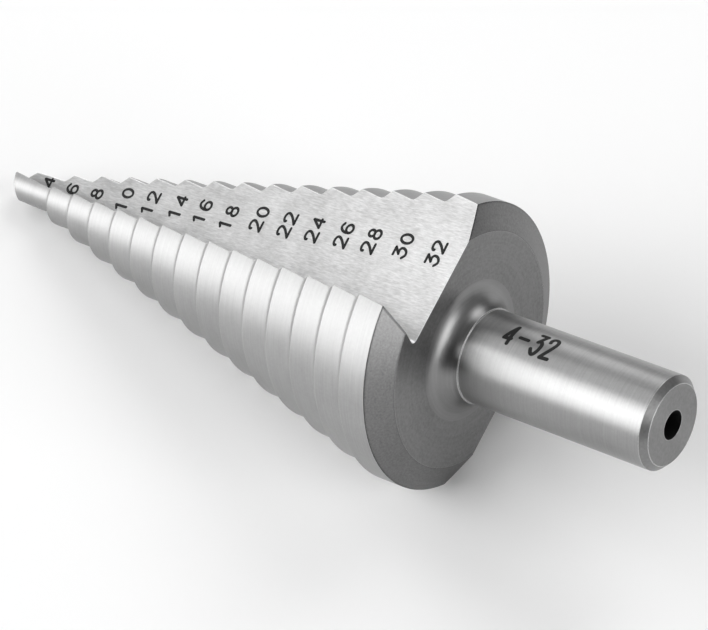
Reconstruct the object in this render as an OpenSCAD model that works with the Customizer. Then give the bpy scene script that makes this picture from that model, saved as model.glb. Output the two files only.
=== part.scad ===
/* [Steps] */
// Number of drilling steps
step_count = 15; // [11:1:18]
// Diameter of the first step
first_d = 4; // [3.6:0.1:5]
// Diameter of the last step
last_d = 32; // [26:1:36]
// Distance along the axis from one step to the next
step_pitch = 4; // [3.5:0.1:6]
// Length of the bevel that leads each step in
bevel_len = 1.15; // [0.8:0.05:1.6]
// Distance from the point to the end of the first step
first_len = 6.7; // [6:0.1:9]
// Length of the land on the last step
last_land = 3; // [2:0.1:5]
// Drop of the last land from its cutting edge to its heel
land_relief = 0.55; // [0.3:0.05:0.7]

/* [Point] */
// Included angle of the point
point_angle = 118; // [112:1:124]
// Tilt of each flank behind its lip
lip_relief = 17; // [12:1:20]
// Direction of the first lip around the axis
lip_az = 76; // [72:1:80]

/* [Flutes] */
// Angle between the floor and the wall of a flute
flute_angle = 78; // [75:1:82]
// Radius in the corner of a flute
flute_corner_r = 0.5; // [0.3:0.05:0.7]
// Distance from the point to where a flute's corner crosses the axis
flute_start = 4; // [3.7:0.1:4.3]
// Height of a flute's floor over the axis at the back of the last step
floor_rear = 9.6; // [9.2:0.1:10]
// Distance of a flute's corner beyond the axis at the back of the last step
corner_rear = 4; // [3.5:0.1:4.5]

/* [Back] */
// Length of the bevel behind the last step
back_bevel_len = 1.55; // [1:0.05:2.5]
// Depth of the bevel behind the last step
back_bevel_depth = 3.3; // [2:0.1:3.8]
// Radius of the fillet between the back face and the shank
fillet_r = 2.5; // [2.2:0.1:3]

/* [Shank] */
// Diameter of the shank
shank_d = 10; // [9:0.5:10.5]
// Length from the back face to the end of the shank
shank_len = 24.8; // [20:0.1:40]
// Distance from the back face to where the ground surface of the shank begins
ground_from = 2.1; // [1.9:0.05:2.2]
// Height of the small shoulder where the ground surface begins
shoulder = 0.1; // [0.05:0.05:0.3]
// Size of the bevel on the end of the shank
end_bevel = 0.7; // [0.4:0.1:1]
// Diameter of the centre hole in the end of the shank
centre_d = 3.1; // [2:0.1:4]
// Depth of the straight part of the centre hole
centre_depth = 5; // [3:0.5:8]
// Included angle of the bottom of the centre hole
centre_angle = 118; // [90:1:130]

/* [Hidden] */
$fn = 180;
// Turn from one wing to the other, and how far shapes run past what they are joined to or cut from
half_turn = 180;
spare = 1;
// Largest radius, and places along the axis measured from the point
last = step_count - 1;
step_rise = (last_d - first_d) / last;
rear_r = last_d / 2;
tooth_x = step_end(last) - step_pitch + bevel_len;
rear_x = tooth_x + last_land;
back_x = rear_x + back_bevel_len;
end_x = back_x + shank_len;
flat_r = rear_r - back_bevel_depth;
// Slope of a flute's floor, and lean of its corner across the axis
flute_rise = atan(floor_rear / (rear_x - flute_start));
flute_lean = atan(corner_rear / (rear_x - flute_start) * cos(flute_rise));
// Direction of a flute's wall in a cross-section, and its distance from the axis at the back
wall_az = atan2(sin(flute_angle) * cos(flute_lean),
    cos(flute_angle) * cos(flute_rise) - sin(flute_angle) * sin(flute_lean) * sin(flute_rise));
wall_shift = corner_rear * sin(wall_az) + floor_rear * cos(wall_az);
// Direction of a wing's cutting edge at the back, half of the angle round to its heel, and its middle
edge_az = wall_az + asin(wall_shift / rear_r);
half_span = (half_turn + asin(floor_rear / (rear_r - land_relief)) - edge_az) / 2;
wing_az = edge_az + half_span;
// Lean of each wing, which makes its lands and bevels fall away from the cutting edge to the heel
wing_lean = asin(land_relief / 2 / sin(half_span) / rear_x);
// Direction that parts the two wings, inside the opening of a flute, and how far they overlap there
part_az = 60;
lap = 0.1;
over = 3 * rear_r;
cone_len = back_x + rear_r;
// The three corners that the drill lies on: one at the point, and two at the front of the last land
tooth_share = (tooth_x - flute_start) / (rear_x - flute_start);
heel_r = rear_r - land_relief * tooth_x / rear_x;
heel_az = asin(floor_rear * tooth_share / heel_r);
tooth_az = wall_az + asin(wall_shift * tooth_share / rear_r);
lip_x = first_d / 2 * cos(point_angle / 2) / sqrt(pow(cos(lip_relief), 2) - pow(cos(point_angle / 2), 2));
wing_shift = rear_r * sin(half_span) * sin(wing_lean);
tip_corner = around(lip_x, first_d / 2, half_turn + lip_az);
heel_corner = around(tooth_x + wing_shift, heel_r, half_turn + heel_az);
tooth_corner = around(tooth_x - wing_shift, rear_r, half_turn + tooth_az);
// Upward direction when the drill lies on those corners, seen in the drill's own axes
lying = cross(heel_corner - tip_corner, tooth_corner - tip_corner);
up = lying / norm(lying);
rest_roll = 90 - atan2(up[2], up[1]);
rest_tilt = asin(up[0]);
rest_len = end_x * cos(rest_tilt) + (shank_d / 2 - end_bevel) * sin(rest_tilt);

function step_r(i) = (first_d + i * step_rise) / 2;
function step_end(i) = first_len + i * step_pitch;
// A point at place x along the axis, radius r and direction az around the axis
function around(x, r, az) = [x, r * cos(az), r * sin(az)];
// A point of the outline, drawn in by half of the relief so that the cutting edge is at full size
function outline(i, x) = [step_r(i) - land_relief / 2 * x / rear_x, x];

module along_axis() {
    rotate([0, 90, 0]) rotate([0, 0, 90]) children();
}

module both_sides() {
    for (turn = [0, half_turn]) rotate([turn, 0, 0]) children();
}

// Turned body with all the steps
module stepped_body() {
    bevel_tops = [for (i = [1:last]) outline(i, step_end(i - 1) + bevel_len)];
    land_ends = [for (i = [0:last]) outline(i, i == last ? back_x + spare : step_end(i))];
    pairs = [for (i = [0:last - 1], end = [false, true]) end ? bevel_tops[i] : land_ends[i]];
    along_axis()
        rotate_extrude()
            polygon(concat([[0, -spare], outline(0, -spare)], pairs,
                [land_ends[last], [0, back_x + spare]]));
}

// One wing: the stepped body, leaned about the direction of the wing's middle
module wing() {
    intersection() {
        rotate([wing_az, 0, 0]) rotate([0, wing_lean, 0]) rotate([-wing_az, 0, 0]) stepped_body();
        rotate([part_az, 0, 0]) translate([-spare, -over, -lap]) cube([2 * over, 2 * over, over]);
    }
}

// Cone of the point, tilted so that the flank behind one lip falls away
module flank() {
    rotate([lip_az, 0, 0]) rotate([0, lip_relief, 0])
        along_axis() cylinder(h = cone_len, r1 = 0, r2 = cone_len * tan(point_angle / 2));
}

// Turned outline of the back: the bevel behind the last step, and the flat back face
module back_outline() {
    slope = back_bevel_len / back_bevel_depth;
    along_axis()
        rotate_extrude()
            polygon([[0, -spare], [rear_r + spare, -spare], [rear_r + spare, rear_x - slope * spare],
                [flat_r, back_x], [0, back_x]]);
}

// Stepped head with its point and its back, before the flutes are ground
module head() {
    intersection() {
        both_sides() wing();
        flank();
        rotate([half_turn, 0, 0]) flank();
        back_outline();
    }
}

// Shank with the fillet at its root and the bevel on its end
module shank() {
    shank_r = shank_d / 2;
    root_r = shank_r + shoulder + fillet_r;
    along_axis()
        rotate_extrude() {
            difference() {
                translate([0, back_x - spare]) square([root_r, ground_from + spare]);
                translate([root_r, back_x + fillet_r]) circle(fillet_r);
            }
            polygon([[0, back_x - spare], [shank_r, back_x - spare], [shank_r, end_x - end_bevel],
                [shank_r - end_bevel, end_x], [0, end_x]]);
        }
}

// Straight centre hole with a drilled bottom
module centre_hole() {
    hole_r = centre_d / 2;
    bottom = end_x - centre_depth;
    along_axis()
        rotate_extrude()
            polygon([[0, bottom - hole_r / tan(centre_angle / 2)], [hole_r, bottom],
                [hole_r, end_x + spare], [0, end_x + spare]]);
}

// What the grinding wheel takes out for one flute: a long wedge with a rounded corner
module flute() {
    run = flute_corner_r / tan(flute_angle / 2);
    wall = [cos(flute_angle), sin(flute_angle)];
    translate([flute_start, 0, 0])
        rotate([0, -flute_rise, 0]) rotate([0, 0, -flute_lean]) translate([-over, 0, 0])
            along_axis()
                linear_extrude(end_x + over) {
                    polygon([[run, 0], [over, 0], [over, over * wall.y], over * wall, run * wall]);
                    translate([run, flute_corner_r]) circle(flute_corner_r);
                }
}

// Lays the drill on its three corners, with the point towards -X
module lie_down() {
    translate([-rest_len / 2, 0, -up * tip_corner])
        rotate([0, -rest_tilt, 0]) rotate([rest_roll, 0, 0]) children();
}

module step_drill() {
    color("silver")
        lie_down()
            difference() {
                union() {
                    head();
                    shank();
                }
                both_sides() flute();
                centre_hole();
            }
}

step_drill();
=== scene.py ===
import bpy
from math import sin, cos, tan, asin, acos, atan, atan2, degrees, radians, pi, sqrt
from mathutils import Matrix, Vector


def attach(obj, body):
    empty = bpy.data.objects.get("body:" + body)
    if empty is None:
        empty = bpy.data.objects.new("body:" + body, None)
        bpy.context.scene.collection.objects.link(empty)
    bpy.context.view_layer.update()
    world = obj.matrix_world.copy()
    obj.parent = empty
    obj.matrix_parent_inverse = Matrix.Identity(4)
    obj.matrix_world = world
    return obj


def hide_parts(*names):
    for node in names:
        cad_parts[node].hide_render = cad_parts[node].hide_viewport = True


mm = 0.001
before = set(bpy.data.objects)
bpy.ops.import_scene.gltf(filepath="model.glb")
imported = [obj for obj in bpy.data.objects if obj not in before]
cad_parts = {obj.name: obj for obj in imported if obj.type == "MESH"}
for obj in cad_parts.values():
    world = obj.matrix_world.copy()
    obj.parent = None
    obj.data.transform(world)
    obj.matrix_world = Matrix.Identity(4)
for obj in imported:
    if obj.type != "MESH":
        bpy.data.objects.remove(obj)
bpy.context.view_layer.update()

# The drill in millimetres and degrees, along +X from its point, as it was turned and ground
drill = {
    "steps": 15, "firstDiameter": 4, "stepGrowth": 2, "stepPitch": 4, "stepBevel": 1.15,
    "firstLength": 6.7, "lastLand": 3, "landRelief": 0.55,
    "pointAngle": 118, "lipRelief": 17, "lipTurn": 76,
    "fluteAngle": 78, "fluteCorner": 0.5, "fluteStart": 4, "fluteFloor": 9.6, "fluteLean": 4,
    "backBevelLength": 1.55, "backBevelDepth": 3.3, "fillet": 2.5,
    "shankDiameter": 10, "shankLength": 24.8, "groundFrom": 2.1,
    "shoulder": 0.1, "shoulderLength": 0.06, "endBevel": 0.7,
    "centreDiameter": 3.1, "centreDepth": 5, "centreAngle": 118,
    "footBack": 0.3,         # how far the wheel's worn corner moves the foot of each bevel back
    "footRound": 0.36,       # half of the length of the round that it leaves there
    "topRound": 0.05,        # the same at the front corner of each land
}

# How the shapes are made
making = {
    "turns": 300,            # facets round a full turn
    "roundPieces": 4, "filletPieces": 12, "cornerPieces": 8,
    "drawnIn": 0.006,        # keeps the facets inside the drill's size
    "spare": 1,              # how far shapes run past what they are joined to or cut from
    "reach": 3,              # how far the cutting shapes reach out, in radii of the last step
    "partingTurn": 60,       # direction that parts the two wings, inside the opening of a flute
    "lap": 0.1,              # how far the wings overlap there
    "sharpAngle": 20,        # edges that bend by more than this stay sharp
    "grainRadius": 10,       # radius at which the grain map measures turns
}

# Places that follow from those sizes
last = drill["steps"] - 1
stepRadius = [(drill["firstDiameter"] + i * drill["stepGrowth"]) / 2 for i in range(drill["steps"])]
stepEnd = [drill["firstLength"] + i * drill["stepPitch"] for i in range(drill["steps"])]
toothX = stepEnd[last - 1] + drill["stepBevel"]
rearX = toothX + drill["lastLand"]
backX = rearX + drill["backBevelLength"]
endX = backX + drill["shankLength"]
rearRadius = stepRadius[last]
flatRadius = rearRadius - drill["backBevelDepth"]
shankRadius = drill["shankDiameter"] / 2
pointHalf = radians(drill["pointAngle"] / 2)
spare, reach = making["spare"], making["reach"] * rearRadius

# Rise of a flute's floor and lean of its corner, and the direction and distance of its wall
fluteLength = rearX - drill["fluteStart"]
rise = atan(drill["fluteFloor"] / fluteLength)
lean = atan(drill["fluteLean"] / fluteLength * cos(rise))
wedge = radians(drill["fluteAngle"])
wallTurn = atan2(sin(wedge) * cos(lean),
                 cos(wedge) * cos(rise) - sin(wedge) * sin(lean) * sin(rise))
wallShift = drill["fluteLean"] * sin(wallTurn) + drill["fluteFloor"] * cos(wallTurn)

# Middle of each wing between its cutting edge and its heel, and the lean that gives it its relief
edgeTurn = wallTurn + asin(wallShift / rearRadius)
halfSpan = (pi + asin(drill["fluteFloor"] / (rearRadius - drill["landRelief"])) - edgeTurn) / 2
wingTurn = edgeTurn + halfSpan
wingLean = asin(drill["landRelief"] / 2 / sin(halfSpan) / rearX)


def around(x, radius, turn):
    return Vector((x, radius * cos(turn), radius * sin(turn)))


def spin(angle, axis="X"):
    return Matrix.Rotation(angle, 4, axis)


# The three corners that the drill lies on give its resting pose: one at the point, and two at
# the front of the last land
toothShare = (toothX - drill["fluteStart"]) / fluteLength
heelRadius = rearRadius - drill["landRelief"] * toothX / rearX
heelTurn = asin(drill["fluteFloor"] * toothShare / heelRadius)
toothTurn = wallTurn + asin(wallShift * toothShare / rearRadius)
wingShift = rearRadius * sin(halfSpan) * sin(wingLean)
lipSlope = sqrt(cos(radians(drill["lipRelief"])) ** 2 - cos(pointHalf) ** 2)
lipX = stepRadius[0] * cos(pointHalf) / lipSlope
tipCorner = around(lipX, stepRadius[0], pi + radians(drill["lipTurn"]))
heelCorner = around(toothX + wingShift, heelRadius, pi + heelTurn)
toothCorner = around(toothX - wingShift, rearRadius, pi + toothTurn)
upward = (heelCorner - tipCorner).cross(toothCorner - tipCorner).normalized()
restRoll = pi / 2 - atan2(upward.z, upward.y)
restTilt = asin(upward.x)
restLength = endX * cos(restTilt) + (shankRadius - drill["endBevel"]) * sin(restTilt)
restShift = Vector((-restLength / 2, 0, -upward.dot(tipCorner)))
lying = Matrix.Scale(mm, 4) @ Matrix.Translation(restShift) @ spin(-restTilt, "Y") @ spin(restRoll)
print("it lies tilted by", round(degrees(restTilt), 2), "degrees and rolled by",
      round(degrees(restRoll), 2))


# Colours and nodes. A mix takes numbers at 2 and 3 or colours at 6 and 7, and gives a colour at 2
def linear(hexColour):
    channels = [int(hexColour[i:i + 2], 16) / 255 for i in (1, 3, 5)]
    return [c / 12.92 if c <= 0.04045 else ((c + 0.055) / 1.055) ** 2.4 for c in channels] + [1]


def addNode(tree, kind, inputs=None, **settings):
    node = tree.nodes.new(kind)
    for name, value in settings.items():
        setattr(node, name, value)
    for name, value in (inputs or {}).items():
        if isinstance(value, bpy.types.NodeSocket):
            tree.links.new(value, node.inputs[name])
        else:
            node.inputs[name].default_value = value
    return node


def newMaterial(name):
    material = bpy.data.materials.new(name)
    material.use_nodes = True
    material.node_tree.nodes.clear()
    return material, material.node_tree


def drillPlace(tree):
    # where a point is on the drill, in millimetres from its point along +X
    spot = addNode(tree, "ShaderNodeTexCoord")
    return addNode(tree, "ShaderNodeMapping",
                   {"Vector": spot.outputs["Object"], "Location": restShift * mm,
                    "Rotation": (restRoll, -restTilt, 0), "Scale": (mm, mm, mm)},
                   vector_type="TEXTURE").outputs["Vector"]


# Edges: a stone has taken the burr off them, which rounds them, and a fine line is painted along
# them in the look's edge colour: a painted highlight where that colour is light, and painted shade
# where it is dark. It begins where the cosine between the rounded surface and the real one falls to
# "from", and it is full at "to"
edges = {"from": 0.995, "to": 0.93, "samples": 4}


def stonedEdgeWithPaintedLine(tree, width):
    softened = addNode(tree, "ShaderNodeBevel", {"Radius": width * mm},
                       samples=edges["samples"]).outputs["Normal"]
    sharp = addNode(tree, "ShaderNodeNewGeometry").outputs["Normal"]
    agree = addNode(tree, "ShaderNodeVectorMath", {0: softened, 1: sharp}, operation="DOT_PRODUCT")
    line = addNode(tree, "ShaderNodeMapRange", {"Value": agree.outputs["Value"],
                                                "From Min": edges["from"], "From Max": edges["to"]})
    return softened, line.outputs[0]


# Patterns run from 0 to 1 about 0.5: where in that the steel is dark, light, smooth and rough
contrast = {"dark": 0.35, "light": 0.65, "smooth": 0.3, "rough": 0.7}


def toolMarks(tree, place, drift, look):
    # drift gives the lines their direction, and the pattern has soft clouds over them
    lines = addNode(tree, "ShaderNodeTexNoise",
                    {"Vector": drift, "Scale": 1, "Detail": look["lineDetail"],
                     "Roughness": look["lineBreaks"]}).outputs["Fac"]
    clouds = addNode(tree, "ShaderNodeTexNoise",
                     {"Vector": place, "Scale": 1 / look["cloudSize"], "Detail": 4}).outputs["Fac"]
    pattern = addNode(tree, "ShaderNodeMix",
                      {"Factor": look["cloudShare"], 2: lines, 3: clouds}).outputs[0]
    return pattern, lines


def finishSteel(tree, look, pattern, lines, place):
    # pattern sets the shade, lines the height of the tool marks, and grit is fine and even in both
    softened, edge = stonedEdgeWithPaintedLine(tree, look["edgeWidth"])
    grit = addNode(tree, "ShaderNodeTexNoise",
                   {"Vector": place, "Scale": 1 / look["gritSize"], "Detail": 2}).outputs["Fac"]
    mixed = addNode(tree, "ShaderNodeMix", {"Factor": look["grit"], 2: pattern, 3: grit}).outputs[0]
    shade = addNode(tree, "ShaderNodeMapRange", {"Value": mixed, "From Min": contrast["dark"],
                                                 "From Max": contrast["light"]}).outputs[0]
    colour = addNode(tree, "ShaderNodeMix",
                     {"Factor": shade, 6: linear(look["dark"]), 7: linear(look["light"])},
                     data_type="RGBA").outputs[2]
    # the painted line along the edges: a painted highlight where the edge colour is light, painted
    # shade where it is dark
    colour = addNode(tree, "ShaderNodeMix", {"Factor": edge, 6: colour, 7: linear(look["edge"])},
                     data_type="RGBA").outputs[2]
    rough = addNode(tree, "ShaderNodeMapRange",
                    {"Value": mixed, "From Min": contrast["smooth"], "From Max": contrast["rough"],
                     "To Min": look["roughness"] - look["roughSpread"],
                     "To Max": look["roughness"] + look["roughSpread"]}).outputs[0]
    height = addNode(tree, "ShaderNodeMix", {"Factor": look["grit"], 2: lines, 3: grit}).outputs[0]
    bump = addNode(tree, "ShaderNodeBump",
                   {"Height": height, "Strength": look["bump"],
                    "Distance": look["bumpHeight"] * mm, "Normal": softened})
    tangent = addNode(tree, "ShaderNodeTangent", direction_type="UV_MAP", uv_map="grain")
    steel = addNode(tree, "ShaderNodeBsdfPrincipled",
                    {"Base Color": colour, "Metallic": 1.0, "Roughness": rough,
                     "Anisotropic": look["anisotropy"], "Tangent": tangent.outputs[0],
                     "Normal": bump.outputs[0]})
    addNode(tree, "ShaderNodeOutputMaterial", {"Surface": steel.outputs[0]})


# High-speed steel, ground while it spins: fine rings round the axis, and highlights drawn out
# across them. A 60 grit wheel leaves lines 0.02 mm wide, which is too fine to show, so they are
# drawn 0.16 mm wide. All sizes here are in millimetres
landLook = {
    # the edge colour paints a highlight line along the edges; the back and the fillet keep it
    "dark": "#9e9e9e", "light": "#aeaeae", "edge": "#d0d0d0", "edgeWidth": 0.13,
    "roughness": 0.52, "roughSpread": 0.03, "anisotropy": 0.35,
    "lineWidth": 0.16, "lineLength": 9, "lineDetail": 2, "lineBreaks": 0.6,
    "cloudSize": 7, "cloudShare": 0.5, "grit": 0.2, "gritSize": 0.3,
    "bump": 0.4, "bumpHeight": 0.004,
}
# The shank is ground finer, so it is smoother and its highlights are sharper; the line along its
# edges is a painted highlight
shankLook = dict(landLook, dark="#929292", light="#a2a2a2", edge="#f4f4f4", edgeWidth=0.04,
                 roughness=0.41, anisotropy=0.5, bump=0.25)
# The back is only turned, which leaves wider rings and a darker grey with more grit in it
backLook = dict(landLook, dark="#747474", light="#888888", roughness=0.38, anisotropy=0.5,
                lineWidth=0.3, lineLength=6, grit=0.45)
# The fillet is turned with a round tool, which leaves it smoother than the back
filletLook = dict(backLook, dark="#808080", light="#8e8e8e", roughness=0.37, anisotropy=0.35,
                  grit=0.1, bump=0.12)
# The bevel behind the last step keeps a dull grey from heat treatment; the darker line along its
# edges is painted shade
bevelLook = dict(backLook, dark="#6c6c6c", light="#808080", edge="#3c3c3c", edgeWidth=0.45,
                 roughness=0.4, anisotropy=0.3, grit=0.6, gritSize=0.22)
# The end of the shank is faced across, and its corners were broken; the bright line along them is
# a painted highlight
endLook = dict(backLook, dark="#7c7c7c", light="#8a8a8a", edge="#e0e0e0", grit=0.6, roughness=0.4)


def turnedSteel(name, look):
    material, tree = newMaterial(name)
    place = drillPlace(tree)
    parts = addNode(tree, "ShaderNodeSeparateXYZ", {0: place})
    section = addNode(tree, "ShaderNodeCombineXYZ",
                      {"Y": parts.outputs["Y"], "Z": parts.outputs["Z"]}).outputs[0]
    radius = addNode(tree, "ShaderNodeVectorMath", {0: section},
                     operation="LENGTH").outputs["Value"]
    rings = addNode(tree, "ShaderNodeCombineXYZ", {"X": parts.outputs["X"], "Y": radius}).outputs[0]
    across = addNode(tree, "ShaderNodeVectorMath", {0: rings, "Scale": 1 / look["lineWidth"]},
                     operation="SCALE").outputs[0]
    along = addNode(tree, "ShaderNodeVectorMath", {0: place, "Scale": 1 / look["lineLength"]},
                    operation="SCALE").outputs[0]
    drift = addNode(tree, "ShaderNodeVectorMath", {0: across, 1: along}, operation="ADD").outputs[0]
    pattern, lines = toolMarks(tree, place, drift, look)
    finishSteel(tree, look, pattern, lines, place)
    return material


landSteel = turnedSteel("groundLandSteel", landLook)
shankSteel = turnedSteel("fineGroundShankSteel", shankLook)
backSteel = turnedSteel("turnedBackSteel", backLook)
filletSteel = turnedSteel("turnedFilletSteel", filletLook)
bevelSteel = turnedSteel("dullBevelSteel", bevelLook)
endSteel = turnedSteel("facedEndSteel", endLook)

# The flutes are ground along the drill and brushed: straight fine lines, soft blotches and a few
# pits, and beside the corner a darker strip, which is painted shade
fluteLook = {
    # the edge colour is a painted highlight along the flute's edges
    "dark": "#bababa", "light": "#dedede", "edge": "#f0f0f0", "edgeWidth": 0.13,
    "roughness": 0.34, "roughSpread": 0.03, "anisotropy": 0.6,
    "lineWidth": 0.15, "lineLength": 9, "lineDetail": 3, "lineBreaks": 0.65,
    "cloudSize": 3, "cloudShare": 0.3, "grit": 0.08, "gritSize": 0.4,
    "bump": 0.45, "bumpHeight": 0.006,
    "pitSpacing": 2.6, "pitSize": 0.13, "pitShade": 0.2,
    "unpitted": 0.4,         # share of the places that have no pit
    # how dark the painted shade beside the flute's corner gets, and the distances over which it
    # fades
    "cornerPaintedShade": 0.75, "cornerFrom": 0.4, "cornerTo": 2.4, "cornerLines": 0.5,
}


def paintedShadeNearFluteCorner(tree, place, look):
    # painted shade: how much darker the steel is beside the corner line of either flute, down to 0
    # away from it
    along = Vector((cos(rise) * cos(lean), -sin(lean), sin(rise) * cos(lean)))
    offset = addNode(tree, "ShaderNodeVectorMath", {0: place, 1: (drill["fluteStart"], 0, 0)},
                     operation="SUBTRACT").outputs[0]
    away = []
    for side in (1, -1):
        line = (along.x, along.y * side, along.z * side)
        off = addNode(tree, "ShaderNodeVectorMath", {0: offset, 1: line},
                      operation="CROSS_PRODUCT").outputs[0]
        away.append(addNode(tree, "ShaderNodeVectorMath", {0: off},
                            operation="LENGTH").outputs["Value"])
    nearest = addNode(tree, "ShaderNodeMath", {0: away[0], 1: away[1]}, operation="MINIMUM")
    return addNode(tree, "ShaderNodeMapRange",
                   {"Value": nearest.outputs[0],
                    "From Min": look["cornerFrom"], "From Max": look["cornerTo"],
                    "To Min": look["cornerPaintedShade"], "To Max": 0},
                   interpolation_type="SMOOTHSTEP").outputs[0]


def brushedSteel(name, look):
    material, tree = newMaterial(name)
    place = drillPlace(tree)
    fine, long = 1 / look["lineWidth"], 1 / look["lineLength"]
    drift = addNode(tree, "ShaderNodeMapping", {"Vector": place, "Scale": (long, fine, fine)})
    pattern, lines = toolMarks(tree, place, drift.outputs[0], look)
    cells = addNode(tree, "ShaderNodeTexVoronoi",
                    {"Vector": place, "Scale": 1 / look["pitSpacing"]})
    chance = addNode(tree, "ShaderNodeSeparateColor", {0: cells.outputs["Color"]}).outputs[0]
    size = addNode(tree, "ShaderNodeMapRange",
                   {"Value": chance, "From Min": look["unpitted"],
                    "To Max": look["pitSize"] / look["pitSpacing"]}).outputs[0]
    inPit = addNode(tree, "ShaderNodeMath", {0: cells.outputs["Distance"], 1: size},
                    operation="LESS_THAN").outputs[0]
    pattern = addNode(tree, "ShaderNodeMix",
                      {"Factor": inPit, 2: pattern, 3: look["pitShade"]}).outputs[0]
    # beside the corner the lines stay, only fainter, so that the painted shade strip is streaky too
    streaks = addNode(tree, "ShaderNodeMix", {"Factor": look["cornerLines"], 2: lines, 3: 0.0})
    pattern = addNode(tree, "ShaderNodeMix",
                      {"Factor": paintedShadeNearFluteCorner(tree, place, look), 2: pattern,
                       3: streaks.outputs[0]}).outputs[0]
    finishSteel(tree, look, pattern, lines, place)
    return material


fluteSteel = brushedSteel("brushedFluteSteel", fluteLook)

# The centre hole is coloured nearly black, a painted shade for its depth, and it swallows nearly
# all light
holeShadeLook = {"dark": "#0a0a0a", "light": "#1c1c1c", "roughness": 0.6, "blotchSize": 0.6,
             "bump": 0.5, "bumpHeight": 0.02}


def paintedShadeBlack(name, look):
    material, tree = newMaterial(name)
    blotches = addNode(tree, "ShaderNodeTexNoise",
                     {"Vector": drillPlace(tree), "Scale": 1 / look["blotchSize"],
                      "Detail": 3}).outputs["Fac"]
    colour = addNode(tree, "ShaderNodeMix",
                     {"Factor": blotches, 6: linear(look["dark"]), 7: linear(look["light"])},
                     data_type="RGBA").outputs[2]
    bump = addNode(tree, "ShaderNodeBump", {"Height": blotches, "Strength": look["bump"],
                                            "Distance": look["bumpHeight"] * mm})
    holeBlack = addNode(tree, "ShaderNodeBsdfPrincipled",
                    {"Base Color": colour, "Roughness": look["roughness"],
                     "Normal": bump.outputs[0]})
    addNode(tree, "ShaderNodeOutputMaterial", {"Surface": holeBlack.outputs[0]})
    return material


holePaintedShade = paintedShadeBlack("holePaintedShadeBlack", holeShadeLook)

# Steel burnt by a laser: a nearly black oxide, finely speckled, which hardly shines
burnLook = {"dark": "#070707", "light": "#1a1a1a", "roughness": 0.6, "shine": 0.3,
            "speckleSize": 0.12}


def burntSteel(name, look):
    material, tree = newMaterial(name)
    speckle = addNode(tree, "ShaderNodeTexNoise",
                      {"Vector": drillPlace(tree), "Scale": 1 / look["speckleSize"],
                       "Detail": 2}).outputs["Fac"]
    colour = addNode(tree, "ShaderNodeMix",
                     {"Factor": speckle, 6: linear(look["dark"]), 7: linear(look["light"])},
                     data_type="RGBA").outputs[2]
    burnt = addNode(tree, "ShaderNodeBsdfPrincipled",
                    {"Base Color": colour, "Roughness": look["roughness"],
                     "Specular IOR Level": look["shine"]})
    addNode(tree, "ShaderNodeOutputMaterial", {"Surface": burnt.outputs[0]})
    return material


laserMark = burntSteel("laserBurntSteel", burnLook)
print("steels finished")


# Shapes in millimetres, along +X
def newObject(name, points, faces, materials, slots=None, smooth=True):
    mesh = bpy.data.meshes.new(name)
    mesh.from_pydata(points, [], faces)
    for material in materials:
        mesh.materials.append(material)
    if slots:
        mesh.polygons.foreach_set("material_index", slots)
    mesh.polygons.foreach_set("use_smooth", [smooth] * len(mesh.polygons))
    mesh.update()
    obj = bpy.data.objects.new(name, mesh)
    bpy.context.scene.collection.objects.link(obj)
    return obj


def turned(name, outline, materials, slots=None):
    # outline holds places along the axis and radii; slots give each stretch of it its material
    count = making["turns"]
    slots = slots or [0] * len(outline)
    points, rings, faces, faceSlots = [], [], [], []
    for x, radius in outline:
        if radius == 0:
            rings.append([len(points)] * count)
            points.append((x, 0, 0))
        else:
            rings.append(list(range(len(points), len(points) + count)))
            points += [around(x, radius, 2 * pi * k / count) for k in range(count)]
    for j, (a, b) in enumerate(zip(rings, rings[1:])):
        for k in range(count):
            n = (k + 1) % count
            corners = [a[k], a[n], b[n], b[k]]
            faces.append([c for i, c in enumerate(corners) if c not in corners[:i]])
            faceSlots.append(slots[j])
    return newObject(name, points, faces, materials, faceSlots)


def combine(target, tool, operation):
    change = target.modifiers.new("combine", "BOOLEAN")
    change.object = tool
    change.operation = operation
    change.solver = "MANIFOLD"
    change.material_mode = "TRANSFER"
    shaped = target.evaluated_get(bpy.context.evaluated_depsgraph_get())
    mesh = bpy.data.meshes.new_from_object(shaped)
    target.modifiers.clear()
    target.data = mesh
    bpy.data.objects.remove(tool)
    return target


def moved(obj, matrix):
    obj.data.transform(matrix)
    return obj


def roundCorners(outline, rounds, pieces):
    # each inner corner becomes an arc that starts and ends its round's length away
    result = [outline[0]]
    for before, corner, after, length in zip(outline, outline[1:], outline[2:], rounds):
        c = Vector(corner)
        a = c + (Vector(before) - c).normalized() * length
        b = c + (Vector(after) - c).normalized() * length
        for k in range(pieces + 1):
            t = k / pieces
            p = (1 - t) ** 2 * a + 2 * t * (1 - t) * c + t * t * b
            result.append((p.x, p.y))
    return result + [outline[-1]]


def steppedOutline():
    # drawn in by half of the relief, so that the cutting edges of a leaned wing are at full size
    slope = drill["landRelief"] / 2 / rearX
    corners, rounds = [(0, -spare)], []
    for i in range(drill["steps"]):
        if i:
            corners.append((i, stepEnd[i - 1] + drill["stepBevel"]))
            rounds.append(drill["topRound"])
        corners.append((i, backX + spare if i == last else stepEnd[i] + drill["footBack"]))
        rounds.append(drill["footRound"])
    outline = [(x, stepRadius[i] - slope * x - making["drawnIn"]) for i, x in corners]
    steps = roundCorners(outline, rounds, making["roundPieces"])
    return [(-spare, 0)] + steps + [(backX + spare, 0)]


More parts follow.
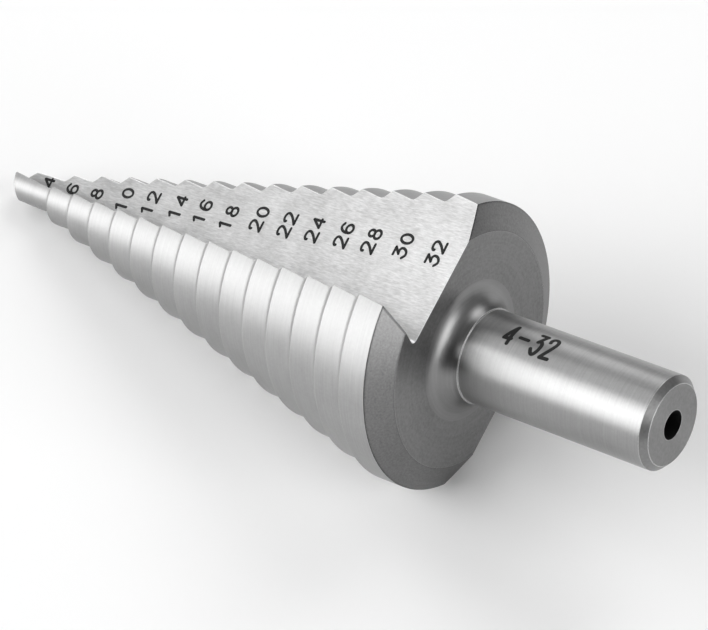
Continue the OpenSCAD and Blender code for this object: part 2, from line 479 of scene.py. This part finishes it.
def makeWing(turn):
    wing = turned("wing", steppedOutline(), [landSteel])
    moved(wing, spin(wingTurn) @ spin(wingLean, "Y") @ spin(-wingTurn))
    # a block over one side of the parting keeps one wing
    points = [(x, y, z) for x in (-2 * spare, 2 * reach) for y in (-reach, reach)
              for z in (-making["lap"], reach)]
    faces = [(0, 1, 3, 2), (4, 6, 7, 5), (0, 4, 5, 1), (2, 3, 7, 6), (0, 2, 6, 4), (1, 5, 7, 3)]
    side = newObject("side", points, faces, [landSteel])
    moved(side, spin(radians(making["partingTurn"])))
    return moved(combine(wing, side, "INTERSECT"), spin(turn))


def makeFlank(turn):
    length = backX + rearRadius
    cone = turned("flank", [(0, 0), (length, length * tan(pointHalf)), (length, 0)], [endSteel])
    relief = spin(radians(drill["lipRelief"]), "Y")
    return moved(cone, spin(turn + radians(drill["lipTurn"])) @ relief)


def makeBack():
    slope = drill["backBevelLength"] / drill["backBevelDepth"]
    outline = [(-spare, 0), (-spare, rearRadius + spare),
               (rearX - slope * spare, rearRadius + spare), (backX, flatRadius), (backX, 0)]
    return turned("back", outline, [bevelSteel, backSteel], [0, 0, 0, 1])


def makeFlute(turn):
    # what the grinding wheel takes out: a long wedge with a rounded corner
    corner, pieces = drill["fluteCorner"], making["cornerPieces"]
    run, width = corner / tan(wedge / 2), endX + 2 * reach
    bends = [-(pi - wedge) * k / pieces for k in range(pieces, -1, -1)]
    arc = [(run + corner * sin(a), corner - corner * cos(a)) for a in bends]
    wall = [(reach, reach * sin(wedge)), (reach * cos(wedge), reach * sin(wedge))]
    section = [*wall, *arc, (reach, 0)]
    points = [(x, y, z) for x in (-reach, width) for y, z in section]
    n = len(section)
    faces = [[i, (i + 1) % n, n + (i + 1) % n, n + i] for i in range(n)]
    faces += [list(range(n))[::-1], list(range(n, 2 * n))]
    flute = newObject("flute", points, faces, [fluteSteel])
    start = Matrix.Translation((drill["fluteStart"], 0, 0))
    return moved(flute, spin(turn) @ start @ spin(-rise, "Y") @ spin(-lean, "Z"))


def makeShank():
    radius, pieces = drill["fillet"], making["filletPieces"]
    root = shankRadius + drill["shoulder"] + radius
    stop = acos(1 - drill["groundFrom"] / radius)
    bends = [stop * k / pieces for k in range(pieces + 1)]
    fillet = [(backX + radius * (1 - cos(a)), root - radius * sin(a)) for a in bends]
    hole = drill["centreDiameter"] / 2
    bottomX = endX - drill["centreDepth"]
    tipX = bottomX - hole / tan(radians(drill["centreAngle"] / 2))
    outline = [(backX - spare, 0), (backX - spare, root), *fillet,
               (backX + drill["groundFrom"] + drill["shoulderLength"], shankRadius),
               (endX - drill["endBevel"], shankRadius), (endX, shankRadius - drill["endBevel"]),
               (endX, hole), (bottomX, hole), (tipX, 0)]
    # the fillet, then the shoulder and the shank, the bevel and the end, the hole and its bottom
    slots = [0] * (len(fillet) + 1) + [1, 1, 2, 2, 3, 3]
    return turned("shank", outline, [filletSteel, shankSteel, endSteel, holePaintedShade], slots)


def makeDrill():
    drillBody = combine(makeWing(0), makeWing(pi), "UNION")
    print("two wings joined")
    for turn in (0, pi):
        combine(drillBody, makeFlank(turn), "INTERSECT")
    combine(drillBody, makeBack(), "INTERSECT")
    print("point and back cut")
    combine(drillBody, makeShank(), "UNION")
    for turn in (0, pi):
        combine(drillBody, makeFlute(turn), "DIFFERENCE")
    print("shank added and flutes ground")
    drillBody.name = "drillBody"
    return drillBody


# Grain: the first direction of this map runs across the tool marks, the way highlights draw out
def addGrain(obj):
    mesh = obj.data
    grain = mesh.uv_layers.new(name="grain")
    brushed = [i for i, material in enumerate(mesh.materials) if material == fluteSteel]
    for face in mesh.polygons:
        middle = atan2(face.center.z, face.center.y)
        for loop in face.loop_indices:
            p = mesh.vertices[mesh.loops[loop].vertex_index].co
            if face.material_index in brushed:
                grain.data[loop].uv = (p.y + p.z, p.x)
            else:
                turn = atan2(p.z, p.y)
                turn -= 2 * pi * round((turn - middle) / (2 * pi))
                across = p.x - sqrt(p.y ** 2 + p.z ** 2)
                grain.data[loop].uv = (across, turn * making["grainRadius"])


body = makeDrill()
addGrain(body)
body.data.set_sharp_from_angle(angle=radians(making["sharpAngle"]))
moved(body, lying)
body.modifiers.new("evenShading", "WEIGHTED_NORMAL").keep_sharp = True
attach(body, "root")
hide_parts("step_drill")
print("drill finished with", len(body.data.polygons), "faces")

# Marks burnt in by a laser: single strokes of one width, in cells with their origin in the middle
marks = {
    "height": 1.64, "pitch": 1.6, "strokeWidth": 0.32, "thickness": 0.012,
    # where the middle of each number lies on the flute's floor: along the drill, and across it
    "places": {"4": (4.65, 1.25), "6": (8.65, 1.27), "8": (12.55, 1.56), "10": (16.95, 1.84),
               "12": (20.85, 2.3), "14": (24.95, 2.78), "16": (28.65, 3.04), "18": (32.6, 3.24),
               "20": (36.75, 4.1), "22": (40.8, 4.34), "24": (44.7, 4.69), "26": (48.75, 4.99),
               "28": (52.55, 5.24), "30": (56.85, 5.67), "32": (61.25, 5.84)},
    # the size range on the shank: its figures' places along the drill, the directions of their
    # top and bottom round the shank, and their width and stroke
    "range": {"4": 70.65, "-": 72.35, "3": 74.05, "2": 75.5},
    "rangeTop": 53.3, "rangeBottom": 84, "rangeWidth": 0.84, "rangeStroke": 0.41,
    # pieces in a ring, in each stretch of a curve and in a stroke's end, and the longest piece
    "ringPieces": 40, "curvePieces": 8, "endPieces": 5, "pieceLength": 0.1,
    "endStop": 0.2,          # share of a piece by which a stroke's end stays short of its tip
}

# Points of each stroke as shares of the height; a smooth stroke runs in a curve through them, and
# a ring has its middle and its two radii
figures = {
    "0": [("ring", (0, 0), (0.3, 0.47))],
    "1": [("straight", (-0.24, 0.33), (0, 0.5), (0, -0.5))],
    "2": [("smooth", (-0.29, 0.26), (-0.3, 0.37), (-0.17, 0.48), (0.05, 0.5), (0.24, 0.42),
           (0.29, 0.26), (0.22, 0.09), (0.02, -0.16), (-0.36, -0.5)),
          ("straight", (-0.36, -0.5), (0.31, -0.48))],
    "3": [("straight", (-0.23, 0.49), (0.3, 0.49), (-0.11, 0.08)),
          ("smooth", (-0.11, 0.08), (0.13, 0.13), (0.31, 0), (0.29, -0.25), (0.13, -0.45),
           (-0.1, -0.49), (-0.32, -0.3))],
    "4": [("straight", (0.16, 0.47), (0.16, -0.43)),
          ("straight", (0.16, 0.47), (-0.32, -0.22), (0.27, -0.18))],
    "6": [("smooth", (0.28, 0.38), (0.04, 0.5), (-0.18, 0.37), (-0.3, 0.05), (-0.28, -0.25)),
          ("ring", (0, -0.21), (0.29, 0.28))],
    "8": [("ring", (0, 0.25), (0.23, 0.24)), ("ring", (0, -0.24), (0.3, 0.27))],
    "-": [("straight", (-0.36, 0), (0.36, 0))],
}


def curveThrough(points):
    # the ends count twice, so that the curve reaches them
    pieces = marks["curvePieces"]
    held = [points[0], *points, points[-1]]
    result = []
    for a, b, c, d in zip(held, held[1:], held[2:], held[3:]):
        for k in range(pieces):
            t = k / pieces
            result.append(tuple(
                0.5 * (2 * q + (r - p) * t + (2 * p - 5 * q + 4 * r - w) * t * t
                       + (3 * q - p - 3 * r + w) * t ** 3) for p, q, r, w in zip(a, b, c, d)))
    return result + [points[-1]]


def strokePaths(figure, width, height):
    # the paths of a figure in millimetres, each with whether it is closed
    paths = []
    for kind, *points in figures[figure]:
        points = [(x * width, y * height) for x, y in points]
        if kind == "ring":
            (cx, cy), (rx, ry) = points
            turns = [2 * pi * k / marks["ringPieces"] for k in range(marks["ringPieces"])]
            paths.append(([(cx + rx * cos(t), cy + ry * sin(t)) for t in turns], True))
        elif kind == "smooth":
            paths.append((curveThrough(points), False))
        else:
            paths += [([a, b], False) for a, b in zip(points, points[1:])]
    return paths


def ribbon(path, closed, width):
    # the middle line of a stroke in short pieces, and the lines along its two sides
    corners = [Vector(p) for p in path]
    if closed:
        corners.append(corners[0])
    line = [corners[0]]
    for a, b in zip(corners, corners[1:]):
        pieces = max(1, round((b - a).length / marks["pieceLength"]))
        line += [a.lerp(b, k / pieces) for k in range(1, pieces + 1)]
    if closed:
        line.pop()
    count = len(line)
    left, right = [], []
    for i, p in enumerate(line):
        before = line[(i - 1) % count] if closed or i else p
        after = line[(i + 1) % count] if closed or i < count - 1 else p
        along = (after - before).normalized()
        side = Vector((-along.y, along.x)) * width / 2
        left.append(p + side)
        right.append(p - side)
    return line, left, right


def roundEnd(end, inner, left, right, width):
    # pairs of points that round off a stroke, from its sides to its tip
    out = (end - inner).normalized() * width / 2
    rows = []
    for k in range(1, marks["endPieces"] + 1):
        t = pi / 2 * k / (marks["endPieces"] + marks["endStop"])
        middle = end + out * sin(t)
        rows.append((middle + (left - end) * cos(t), middle + (right - end) * cos(t)))
    return rows


def addSlab(points, faces, rows, closed, onSurface):
    # a thin slab through the surface, as wide as each row
    base, n, thick = len(points), len(rows), marks["thickness"]
    for a, b in rows:
        ring = ((a, thick), (b, thick), (b, -thick), (a, -thick))
        points += [onSurface(p, lift) for p, lift in ring]
    for i in range(n if closed else n - 1):
        here, there = base + 4 * i, base + 4 * ((i + 1) % n)
        for k in range(4):
            m = (k + 1) % 4
            faces.append([here + m, there + m, there + k, here + k])
    if not closed:
        faces.append([base + 3, base + 2, base + 1, base])
        faces.append([base + 4 * (n - 1) + k for k in range(4)])


def makeMarks(name, placedFigures, onSurface, stroke):
    points, faces = [], []
    for figure, cell, width, height in placedFigures:
        for path, closed in strokePaths(figure, width, height):
            line, left, right = ribbon(path, closed, stroke)
            rows = list(zip(left, right))
            if not closed:
                first = roundEnd(line[0], line[1], *rows[0], stroke)
                final = roundEnd(line[-1], line[-2], *rows[-1], stroke)
                rows = first[::-1] + rows + final
            rows = [(cell + a, cell + b) for a, b in rows]
            addSlab(points, faces, rows, closed, onSurface)
    obj = newObject(name, points, faces, [laserMark], smooth=False)
    moved(obj, lying)
    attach(obj, "root")


def onFluteFloor(p, lift):
    # a cell's right is +Y on the drill, and its up is towards the point
    x = drill["fluteStart"] - p.y * cos(rise) - lift * sin(rise)
    return (x, p.x, -p.y * sin(rise) + lift * cos(rise))


def onShank(p, lift):
    turn = radians(marks["rangeTop"] + marks["rangeBottom"]) / 2 - p.y / shankRadius
    return around(p.x, shankRadius + lift, turn)


placed = []
for number, (along, across) in marks["places"].items():
    down = -(along - drill["fluteStart"]) / cos(rise)
    for k, figure in enumerate(number):
        shift = (k - (len(number) - 1) / 2) * marks["pitch"]
        placed.append((figure, Vector((across + shift, down)), marks["height"], marks["height"]))
makeMarks("stepNumbers", placed, onFluteFloor, marks["strokeWidth"])
tall = radians(marks["rangeBottom"] - marks["rangeTop"]) * shankRadius
narrow = marks["height"] * marks["rangeWidth"]
placed = [(figure, Vector((x, 0)), narrow, tall) for figure, x in marks["range"].items()]
makeMarks("sizeRange", placed, onShank, marks["rangeStroke"])
print("numbers burnt in")

# Floor and room, in metres. The room is darker on one side, and fully so where the cosine of the
# angle to that side reaches "darkFull"
stage = {"floorColour": "#fbfbfb", "floorSize": 12, "roomColour": "#ffffff", "roomLight": 0.24,
         "darkBearing": -60, "darkLight": 0.05, "darkFull": 0.9}

# Lamps, all at one distance in metres and facing the drill: bearing in degrees round from +X,
# height over the horizon, size, and how bright the face looks, where 1 is white
lampDistance = 2
lamps = {
    "leftBox": {"bearing": -134, "height": 24.5, "size": (1.75, 1.95), "brightness": 4.5},
    "leftPanel": {"bearing": 175, "height": 46, "size": (0.9, 1.0), "brightness": 1.7},
    "farBox": {"bearing": 145, "height": 13, "size": (1.3, 1.0), "brightness": 2.6},
    "rightBox": {"bearing": 2, "height": 17, "size": (1.2, 1.4), "brightness": 4.2},
    "backBox": {"bearing": 96, "height": 46, "size": (1.0, 1.1), "brightness": 2.7},
}


def makeFloor():
    s = stage["floorSize"] / 2
    material, tree = newMaterial("paleFloor")
    matt = addNode(tree, "ShaderNodeBsdfDiffuse", {"Color": linear(stage["floorColour"])})
    addNode(tree, "ShaderNodeOutputMaterial", {"Surface": matt.outputs[0]})
    points = [(-s, -s, 0), (s, -s, 0), (s, s, 0), (-s, s, 0)]
    floor = newObject("floor", points, [(0, 1, 2, 3)], [material])


def makeWorld():
    world = bpy.data.worlds.new("studio")
    bpy.context.scene.world = world
    world.use_nodes = True
    tree = world.node_tree
    tree.nodes.clear()
    way = addNode(tree, "ShaderNodeTexCoord").outputs["Generated"]
    bearing = radians(stage["darkBearing"])
    darkSide = addNode(tree, "ShaderNodeVectorMath", {0: way, 1: (cos(bearing), sin(bearing), 0)},
                       operation="DOT_PRODUCT").outputs["Value"]
    strength = addNode(tree, "ShaderNodeMapRange",
                       {"Value": darkSide, "From Max": stage["darkFull"],
                        "To Min": stage["roomLight"], "To Max": stage["darkLight"]},
                       interpolation_type="SMOOTHSTEP").outputs[0]
    room = addNode(tree, "ShaderNodeBackground",
                   {"Color": linear(stage["roomColour"]), "Strength": strength})
    addNode(tree, "ShaderNodeOutputWorld", {"Surface": room.outputs[0]})


def makeLamp(name, look):
    light = bpy.data.lights.new(name, "AREA")
    light.shape = "RECTANGLE"
    light.size, light.size_y = look["size"]
    light.energy = look["brightness"] * pi * light.size * light.size_y
    lamp = bpy.data.objects.new(name, light)
    bearing, height = radians(look["bearing"]), radians(look["height"])
    outward = Vector((cos(bearing) * cos(height), sin(bearing) * cos(height), sin(height)))
    lamp.location = outward * lampDistance
    lamp.rotation_euler = (-outward).to_track_quat("-Z", "Y").to_matrix().to_euler()
    bpy.context.scene.collection.objects.link(lamp)


makeFloor()
makeWorld()
for name, look in lamps.items():
    makeLamp(name, look)
print("floor, room and", len(lamps), "lamps set")

# Camera where the photo was taken from: turn round the object, height over the horizon and roll in
# degrees, distance and aim in metres, lens and sensor in millimetres
view = {"turn": 39.03, "height": 48.59, "roll": -3.393, "distance": 0.35426,
        "aim": (0.003955, -0.00001, 0.009797), "lens": 171.43, "sensor": 36, "nearest": 0.01}


def makeCamera():
    camera = bpy.data.objects.new("camera", bpy.data.cameras.new("camera"))
    turn, height = radians(view["turn"]), radians(view["height"])
    back = Vector((sin(turn) * cos(height), -cos(turn) * cos(height), sin(height)))
    camera.location = Vector(view["aim"]) + back * view["distance"]
    level = (-back).to_track_quat("-Z", "Y").to_matrix()
    camera.rotation_euler = (level @ Matrix.Rotation(radians(view["roll"]), 3, "Z")).to_euler()
    camera.data.lens = view["lens"]
    camera.data.sensor_width = view["sensor"]
    camera.data.clip_start = view["nearest"]
    bpy.context.scene.collection.objects.link(camera)
    bpy.context.scene.camera = camera


makeCamera()
bpy.context.scene.view_settings.view_transform = "Standard"
print("camera set")
